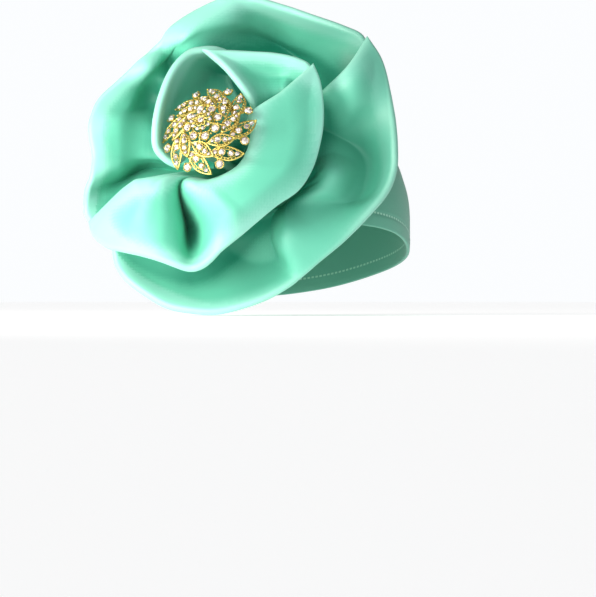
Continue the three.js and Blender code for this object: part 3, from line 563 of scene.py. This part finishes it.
petal_satin = Finish("petal_satin", sheen_weight=0.08, sheen_roughness=0.35, specular_ior_level=0.6)
on_satin = petal_satin.node("ShaderNodeUVMap", {"uv_map": "cloth"})
satin_space = petal_satin.node("ShaderNodeTexCoord", take="Object")
from_fold = petal_satin.node("ShaderNodeAttribute", {"attribute_name": "fold"}, take="Fac")
warp = petal_satin.noise(petal_satin.stretched(on_satin, (160.0, 2600.0, 1.0)), 1.0, detail=2.0)
weft = petal_satin.noise(petal_satin.stretched(on_satin, (2200.0, 240.0, 1.0)), 1.0, detail=2.0)
satin_cloud = petal_satin.noise(satin_space, 14.0, detail=2.0)
satin_rub = petal_satin.noise(satin_space, 60.0, detail=4.0)
# Painted highlight: the satin is paler near its folded edges, broken up by a noise.
painted_fold_highlight = (1 - from_fold / 0.0045).math("MAXIMUM", 0.0) * (0.45 + 0.5 * satin_rub)
satin_green = petal_satin.mix(satin_cloud, (0.11, 0.54, 0.37, 1), (0.145, 0.60, 0.42, 1))
satin_green = petal_satin.mix(warp * 0.16, satin_green, (0.2, 0.70, 0.52, 1))
below_face = petal_satin.node("ShaderNodeAttribute", {"attribute_name": "sunk"}, take="Fac")
# Painted shade: deep green where a place lies below the rosette's averaged face, as in its folds.
painted_fold_shade = below_face.eased(-0.004, 0.018, 0.0, 0.96)
# Painted highlight: pale mint on the crests that stand proud of the rosette's averaged face.
painted_crest_highlight = below_face.eased(-0.004, -0.020, 0.0, 0.6)
satin_across = petal_satin.parts(satin_space)[0]
# Painted light: on the brooch's outer side, towards the left softbox, the painted fold shade is eased off, so
# the folds there are paler than the others.
lit_side_shade_share = satin_across.eased(-0.13, -0.055, 0.45, 1.0)
satin_green = petal_satin.mix(painted_fold_shade * lit_side_shade_share, satin_green, (0.001, 0.24, 0.145, 1))
satin_green = petal_satin.mix(painted_crest_highlight, satin_green, (0.40, 0.85, 0.73, 1))
# Painted shade: on the far side from the brooch the satin is darkened to a deeper green, as where less light
# falls.
painted_far_shade = satin_across.eased(-0.025, 0.035, 0.0, 0.7)
satin_green = petal_satin.mix(painted_far_shade, satin_green, (0.03, 0.25, 0.16, 1))
# The painted highlight along the folded edges.
satin_green = petal_satin.mix(painted_fold_highlight * 0.55, satin_green, (0.40, 0.80, 0.65, 1))
satin_threads = petal_satin.relief(warp * 0.7 + weft * 0.3, 0.00004)
satin_relief = petal_satin.relief(satin_rub, 0.00022, satin_threads)
petal_satin.wear(
    base_color=satin_green,
    roughness=0.46 + 0.08 * satin_rub + 0.05 * warp,
    normal=satin_relief,
)

petal_plan = {
    "petal_inner_front": (inner_front, inner_hub, 0.024, 14, (0.12, 0.17)),
    "petal_inner_top": (inner_top, inner_hub, 0.024, 20, (0.07, 0.055)),
    "petal_centre": (centre_left, inner_hub, 0.015, 14, (0.09, 0.08)),
    "petal_outer_right": (outer_right, outer_hub, 0.034, 14, (0.08, 0.26)),
    "petal_outer_left": (outer_left, outer_hub, 0.034, 14, (0.10, 0.26)),
}
middles = [petal_middle(*plan[:4], seed) for seed, plan in enumerate(petal_plan.values())]
face = flower_face([middle for middle, _ in middles])
for (node, plan), (middle, normal) in zip(petal_plan.items(), middles):
    petal = petal_piece(node.replace("petal", "satin"), middle, normal, face)
    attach(petal, "root")
    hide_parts(node)


# The brooch. An openwork dome of gilded wire: rings on four ribs carry two tiers of swept leaves,
# cups on stems between their tips, a ring of cups and a looped flower. It is pinned through the
# inner petals' crests.
brooch_radius = 0.034
brooch_dome = 0.010
tier_rise = 0.0016
around_tier = 8
brooch_across, brooch_out, brooch_up = -0.312, 0.62, 0.16
brooch_lean, brooch_swing = radians(34), radians(37)
settled = 0.00336
brooch_turn = (
    Matrix.Rotation(rosette_turn, 4, "Z")
    @ Matrix.Translation((
        seat_across + brooch_across * rosette_radius,
        -(seat_lift + brooch_out * rosette_depth),
        seat_up + brooch_up * rosette_radius,
    ))
    @ Matrix.Rotation(-brooch_swing, 4, "Y")
    @ Matrix.Rotation(pi / 2 - brooch_lean, 4, "X")
    @ Matrix.Translation((0, 0, settled))
)
brooch_matrix = np.array(brooch_turn)
leaf_tiers = [
    {"radius": 0.77, "turn": 0.0, "ring": 0.635, "length": 0.66, "width": 0.27, "raise": 0.0},
    {"radius": 0.55, "turn": 8.0, "ring": 0.45, "length": 0.52, "width": 0.25, "raise": 1.2},
]
rim_cups = {"radius": 0.9, "turn": 30.0, "raise": 0.0}
inner_cups = {"radius": 0.33, "turn": 22.5, "raise": 1.8}
leaf_sweep = radians(42)
leaf_bend = 1.1
leaf_stones = [(-0.11, 0.0043), (0.16, 0.0036)]
cup_stone = 0.0053
heart_stone = 0.0046
flower_raise = 2.8


def dome(x, y):
    """Height of the brooch's upper face: a parabola that falls to nothing at its rim."""
    return brooch_dome * (1 - (x ** 2 + y ** 2) / brooch_radius ** 2)


def over_dome(x, y, above):
    """Points in the brooch's own frame from places in its plane and a height over the dome."""
    return np.stack([x, y, dome(x, y) + above], -1)


def all_round(tier, x, y):
    """Places given from the middle of a tier's leaf or cup, x straight out, turned to all eight."""
    turn = radians(tier["turn"]) + 2 * pi * np.arange(around_tier)[:, None] / around_tier
    out = tier["radius"] * brooch_radius + x
    return out * np.cos(turn) - y * np.sin(turn), out * np.sin(turn) + y * np.cos(turn)


def on_leaves(tier, along, across, above):
    """Points over all of a tier's leaves from shares of a leaf's length and width. A leaf is swept
    from pointing straight out, and bends to one side with the square of the share along it."""
    x = along * tier["length"] * brooch_radius
    y = (across + leaf_bend * along * np.abs(along)) * tier["width"] * brooch_radius
    x, y = x * cos(leaf_sweep) - y * sin(leaf_sweep), x * sin(leaf_sweep) + y * cos(leaf_sweep)
    return over_dome(*all_round(tier, x, y), tier["raise"] * tier_rise + above)


def wires_along(paths, radius, sides=8, closed=False):
    """Round wires along many paths of equally many points. Each point carries a ring square to the
    path. A closed path's first ring is its last, and the others' ends draw to a point."""
    way = np.gradient(paths, axis=1)
    if closed:
        way[:, [0, -1]] = (paths[:, 1] - paths[:, -2])[:, None]
    way /= np.linalg.norm(way, axis=-1, keepdims=True) + 1e-12
    side = np.cross(way, [0.0, 0.0, 1.0])
    side /= np.linalg.norm(side, axis=-1, keepdims=True) + 1e-12
    lift = np.cross(side, way)
    angle = np.linspace(0, 2 * pi, sides + 1)
    thick = radius * np.ones(paths.shape[1])
    if not closed:
        thick[[0, -1]] = 0
    ring = np.cos(angle)[:, None] * side[:, :, None] + np.sin(angle)[:, None] * lift[:, :, None]
    places = paths[:, :, None] + thick[:, None, None] * ring
    numbers = np.arange(places[..., 0].size).reshape(places.shape[:3])
    numbers[..., -1] = numbers[..., 0]
    if closed:
        numbers[:, -1] = numbers[:, 0]
    else:
        numbers[:, [0, -1]] = numbers[:, [0, -1], :1]
    return places.reshape(-1, 3), np.concatenate([triangles_of(one) for one in numbers])


def turned_forms(centres, lays, sizes, outline, sides=10):
    """The same turned form at many centres. Outline is its radius and height as shares of each
    one's size, from the foot to the top on its axis, and lays are matrices that lean each one."""
    angle = np.linspace(0, 2 * pi, sides + 1)
    radius, height = outline[:, 0, None], outline[:, 1, None]
    form = np.stack([radius * np.cos(angle), radius * np.sin(angle), height + 0 * angle], -1)
    places = np.einsum("n,nij,abj->nabi", sizes, lays, form) + centres[:, None, None]
    numbers = np.arange(places[..., 0].size).reshape(places.shape[:3])
    numbers[..., -1] = numbers[..., 0]
    numbers[:, [0, -1]] = numbers[:, [0, -1], :1]
    return places.reshape(-1, 3), np.concatenate([triangles_of(one) for one in numbers])


def gilt_piece(name, parts):
    """One piece of many wires or turned forms, laid on the rosette."""
    starts = np.cumsum([0] + [len(places) for places, _ in parts[:-1]])
    places = np.concatenate([places for places, _ in parts])
    triangles = np.concatenate([cells + start for (_, cells), start in zip(parts, starts)])
    placed = places @ brooch_matrix[:3, :3].T + brooch_matrix[:3, 3]
    piece = piece_of(name, placed, triangles, gilt.material)
    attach(piece, "root")
    return piece


gilt = Finish("gilt_metal", coat_roughness=0.1)
gilt_space = gilt.node("ShaderNodeTexCoord", take="Object")
gilt_cloud = gilt.noise(gilt_space, 160.0)
gilt_grain = gilt.noise(gilt_space, 2600.0, detail=2.0)
gilt_color = gilt.mix(gilt_cloud, (0.50, 0.37, 0.06, 1), (0.84, 0.72, 0.25, 1))
gilt_color = gilt.mix((gilt_grain - 0.58).math("MAXIMUM", 0.0) * 2.2, gilt_color, (0.50, 0.30, 0.06, 1))
gilt.wear(
    base_color=gilt_color,
    metallic=0.78 + 0.2 * gilt_cloud,
    roughness=0.16 + 0.16 * gilt_cloud + 0.06 * gilt_grain,
    normal=gilt.relief(gilt_grain, 0.00004),
)

stone = Finish("clear_stone", ior=1.7, coat_weight=1.0, coat_roughness=0.02)
stone_space = stone.node("ShaderNodeTexCoord", take="Object")
facet_cells = {"Vector": stone_space, "Scale": 850.0}
facet = stone.node("ShaderNodeTexVoronoi", {"feature": "F1"}, facet_cells, take="Color")
facet_edge = stone.node("ShaderNodeTexVoronoi", {"feature": "DISTANCE_TO_EDGE"}, facet_cells)
facet_glint_share, facet_warm = stone.parts(facet, "ShaderNodeSeparateColor")[:2]
# Painted reflections: each facet cell gets a colour from near black to white, standing in for the glints of a
# cut stone.
stone_color = stone.node(
    "ShaderNodeValToRGB",
    {"stops": [
        (0.0, (0.14, 0.12, 0.11, 1)),
        (0.40, (0.46, 0.42, 0.40, 1)),
        (0.62, (0.90, 0.86, 0.85, 1)),
        (1.0, (1.0, 1.0, 1.0, 1)),
    ]},
    {0: facet_glint_share},
)
# Painted fire: some facets are tinted a warm pink.
stone_color = stone.mix((facet_warm - 0.62).math("MAXIMUM", 0.0) * 1.2, stone_color, (1.0, 0.70, 0.64, 1))
stone.wear(
    base_color=stone_color,
    metallic=0.15 + 0.25 * facet_warm,
    roughness=0.05 + 0.12 * facet_warm,
    normal=stone.relief(facet_edge.math("MULTIPLY", 6.0, clamp=True), 0.0002),
)

# The frame: a wire round each leaf and a vein to its tip, the rings, stems and ribs that carry them,
# and the flower's loops in two layers.
frame_wire, ring_wire, vein_wire, rib_wire, loop_wire = 0.00062, 0.00075, 0.00040, 0.0009, 0.00042
circle = np.linspace(0, 2 * pi, 49)
out_and_back = np.concatenate([np.linspace(-0.5, 0.5, 17), np.linspace(0.5, -0.5, 17)[1:]])
leaf_side = np.repeat([-1.0, 1.0], [17, 16]) * 0.5 * np.cos(pi * out_and_back) ** 0.8
wires = []
for tier in leaf_tiers:
    leaf = on_leaves(tier, out_and_back, leaf_side, -frame_wire)
    wires.append(wires_along(leaf, frame_wire, closed=True))
    inlay = on_leaves(tier, 0.62 * out_and_back, 0.62 * leaf_side, -2 * frame_wire)
    wires.append(wires_along(inlay, vein_wire, sides=6, closed=True))
    vein = on_leaves(tier, np.linspace(0.26, 0.49, 6), np.zeros(6), -frame_wire)
    wires.append(wires_along(vein, vein_wire, sides=6))
for radius, high in ((0.615, -0.0011), (0.655, -0.0011), (0.45, 0.0008), (0.24, 0.0018)):
    run = radius * brooch_radius
    hoop = over_dome(run * np.cos(circle), run * np.sin(circle), high)
    wires.append(wires_along(hoop[None], ring_wire, closed=True))
stem_run = np.linspace(-0.28, -0.06, 6) * brooch_radius
wires.append(wires_along(over_dome(*all_round(rim_cups, stem_run, 0 * stem_run), -0.001), ring_wire))
rib_reach = np.array([0.66, 0.6, 0.54, 0.47, 0.42, 0.34, 0.26, 0.14, 0.0]) * brooch_radius
rib_high = np.array([-0.7, -0.7, -0.3, 0.5, 0.5, 0.8, 1.1, 1.1, 1.1]) * tier_rise
rib_turn = radians(45) + pi / 2 * np.arange(4)[:, None]
ribs = over_dome(rib_reach * np.cos(rib_turn), rib_reach * np.sin(rib_turn), rib_high)
wires.append(wires_along(ribs, rib_wire))
for count, inner, outer, wide, high in ((10, 0.06, 0.215, 0.062, 0.0), (8, 0.04, 0.14, 0.045, 0.0009)):
    share = np.linspace(0, 2 * pi, 25)
    x = brooch_radius * (inner + (outer - inner) * (1 - np.cos(share)) / 2)
    y = brooch_radius * wide * np.sin(share) * (0.45 + 0.55 * (1 - np.cos(share)) / 2)
    turn = 2 * pi * np.arange(count)[:, None] / count
    rise = flower_raise * tier_rise + high + 0.0011 * np.sin(pi * (1 - np.cos(share)) / 2.6)
    loops = over_dome(x * np.cos(turn) - y * np.sin(turn), x * np.sin(turn) + y * np.cos(turn), rise)
    wires.append(wires_along(loops, loop_wire, sides=6, closed=True))
openwork = gilt_piece("brooch_openwork", wires)
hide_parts("brooch_setting")

# Cups, claws and grains: each stone stands in a turned cup with four claws bent over its edge, and
# cast grains sit at the leaves' tips and between the inner cups.
seats = [(on_leaves(tier, np.array([along]), np.zeros(1), 0.0)[:, 0], size)
         for tier in leaf_tiers for along, size in leaf_stones]
seats += [(over_dome(*all_round(cups, np.zeros(1), np.zeros(1)), cups["raise"] * tier_rise)[:, 0], cup_stone)
          for cups in (rim_cups, inner_cups)]
seats.append((np.array([[0, 0, brooch_dome + flower_raise * tier_rise + 0.0007]]), heart_stone))
centres = np.concatenate([places for places, _ in seats])
sizes = np.concatenate([np.full(len(places), size / 2) for places, size in seats])
turn = np.arctan2(centres[:, 1], centres[:, 0])
slope = np.arctan(2 * brooch_dome * np.hypot(centres[:, 0], centres[:, 1]) / brooch_radius ** 2)
lays = np.array([
    Matrix.Rotation(one_turn, 3, "Z") @ Matrix.Rotation(one_slope, 3, "Y")
    for one_turn, one_slope in zip(turn, slope)
])
claw_wire, tip_grain, bead = 0.0004, 0.0008, 0.0006
claw_run = np.array([[1.2, -0.2], [1.24, 0.2], [1.2, 0.45], [1.08, 0.66], [0.84, 0.76]])
claw_turn = radians(45) + pi / 2 * np.arange(4)[:, None]
claw = np.stack([
    claw_run[:, 0] * np.cos(claw_turn), claw_run[:, 0] * np.sin(claw_turn), claw_run[:, 1] + 0 * claw_turn,
], -1)
claws = np.einsum("n,nij,kpj->nkpi", sizes, lays, claw) + centres[:, None, None]
cup_line = np.array([
    [0.0, -0.62], [0.66, -0.6], [0.98, -0.3], [1.16, 0.06], [1.2, 0.3], [1.1, 0.34], [1.04, 0.2], [0.8, -0.2],
    [0.0, -0.56],
])
tips = np.concatenate([on_leaves(tier, np.array([0.5]), np.zeros(1), -0.0003)[:, 0] for tier in leaf_tiers])
between = over_dome(*all_round({**inner_cups, "turn": 0.0}, np.zeros(1), np.zeros(1)), 0.0026)[:, 0]
beaded = np.linspace(-0.3, 0.3, 7)
beads = np.concatenate([
    on_leaves(tier, beaded, side * 0.41 * np.cos(pi * beaded) ** 0.8, -0.0002).reshape(-1, 3)
    for tier in leaf_tiers for side in (-1, 1)
])
grains = np.concatenate([tips, between, beads])
grain_sizes = np.repeat([tip_grain, bead], [len(tips) + len(between), len(beads)])
half_turn = np.linspace(0, pi, 7)
grain_line = np.stack([np.sin(half_turn), -np.cos(half_turn)], -1)
upright = np.broadcast_to(np.eye(3), (len(grains), 3, 3))
gilt_piece("cups_claws_and_grains", [
    turned_forms(centres, lays, sizes, cup_line, sides=16),
    wires_along(claws.reshape(-1, 5, 3), claw_wire, sides=6),
    turned_forms(grains, upright, grain_sizes, grain_line),
])

# Small stones glued where there is no room for a cup: at each leaf's two ends and on the flower's
# loops. They are cut like the large ones, with a flat table and a pointed back.
small_stones_across = {"outer": 0.0034, "middle": 0.0026, "flower": 0.0026}
stone_line = np.array([[0.0, -0.58], [1.0, 0.0], [0.58, 0.42], [0.0, 0.42]])
leaf_ends = [
    on_leaves(tier, np.array([-0.31, 0.34]), np.zeros(2), 0.0004).reshape(-1, 3) for tier in leaf_tiers
]
loops_round, loop_reach = 10, 0.2 * brooch_radius
loop_turn = 2 * pi * np.arange(loops_round) / loops_round
on_loops = over_dome(
    loop_reach * np.cos(loop_turn), loop_reach * np.sin(loop_turn), flower_raise * tier_rise + 0.0016,
)
glued = np.concatenate(leaf_ends + [on_loops])
flat = np.broadcast_to(np.eye(3), (len(glued), 3, 3))
halves = np.array(list(small_stones_across.values())) / 2
halves = np.repeat(halves, [2 * around_tier, 2 * around_tier, loops_round])
places, cells = turned_forms(glued, flat, halves, stone_line, sides=8)
placed = places @ brooch_matrix[:3, :3].T + brooch_matrix[:3, 3]
small_stones = piece_of("small_stones", placed, cells, stone.material)
small_stones.data.shade_flat()
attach(small_stones, "root")

for name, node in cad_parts.items():
    if name.startswith("stone_"):
        node.data.materials.clear()
        node.data.materials.append(stone.material)
    if name == "brooch_pin":
        node.data.materials.clear()
        node.data.materials.append(gilt.material)


# The studio: a plain pale floor just under the lowest petal, a large soft lamp to the left of the
# view, a weaker one to its right, and an even white surround.
floor_paint = Finish("floor_paint", roughness=0.9, emission_color=(1, 1, 1, 1), emission_strength=0.63)
floor_space = floor_paint.node("ShaderNodeTexCoord", take="Object")
floor_cloud = floor_paint.noise(floor_space, 3.0)
floor_paint.wear(base_color=floor_paint.mix(floor_cloud, (0.92, 0.92, 0.92, 1), (0.95, 0.95, 0.95, 1)))
ring_turns = np.linspace(0, 2 * pi, 65)
reach = np.array([0.0, 1.0, 8.0, 8.0, 0.0])
depth = np.array([0.0, 0.0, 0.0, -0.02, -0.02]) + cad_box[0][2] - 0.0006
floor_places = np.stack([
    reach[:, None] * np.cos(ring_turns), reach[:, None] * np.sin(ring_turns), depth[:, None] + 0 * ring_turns,
], -1)
numbers = np.arange(floor_places[..., 0].size).reshape(floor_places.shape[:2])
numbers[:, -1] = numbers[:, 0]
numbers[0], numbers[-1] = numbers[0, 0], numbers[-1, 0]
floor = piece_of("floor", floor_places.reshape(-1, 3), triangles_of(numbers), floor_paint.material)
floor.data.shade_flat()

world = bpy.data.worlds.new("surround")
world.use_nodes = True
surround = world.node_tree.nodes["Background"]
surround.inputs["Color"].default_value = (0.97, 0.985, 1.0, 1)
seen = world.node_tree.nodes.new("ShaderNodeLightPath")
glow = world.node_tree.nodes.new("ShaderNodeMix")
glow.inputs[2].default_value = 0.22
glow.inputs[3].default_value = 1.0
world.node_tree.links.new(seen.outputs["Is Camera Ray"], glow.inputs[0])
world.node_tree.links.new(glow.outputs[0], surround.inputs["Strength"])
bpy.context.scene.world = world


def soft_lamp(name, across, out, up, spread, power):
    """A far lamp that shines evenly from a direction in the rosette's frame, as soft as its spread."""
    lamp = bpy.data.lights.new(name, "SUN")
    lamp.angle = radians(spread)
    lamp.energy = power
    holder = bpy.data.objects.new(name, lamp)
    way = Vector(across * across_face + out * out_of_face + up * upward)
    holder.location = way
    holder.rotation_euler = way.to_track_quat("Z", "Y").to_euler()
    bpy.context.scene.collection.objects.link(holder)


soft_lamp("front_lamp", -0.45, 1.5, 0.3, 30, 0.85)
soft_lamp("right_lamp", 0.9, 1.5, 0.4, 60, 0.12)
soft_lamp("overhead_lamp", -0.1, 0.1, 1.0, 70, 0.2)

softbox = bpy.data.lights.new("left_softbox", "AREA")
softbox.size = 0.5
softbox.energy = 9
softbox.color = (1.0, 0.94, 0.88)
stand = bpy.data.objects.new("left_softbox", softbox)
stand_place = Vector(-0.62 * across_face + 0.62 * out_of_face + 0.20 * upward)
stand.location = stand_place
stand.rotation_euler = (stand_place - Vector((-0.03, -0.09, 0.03))).to_track_quat("Z", "Y").to_euler()
bpy.context.scene.collection.objects.link(stand)
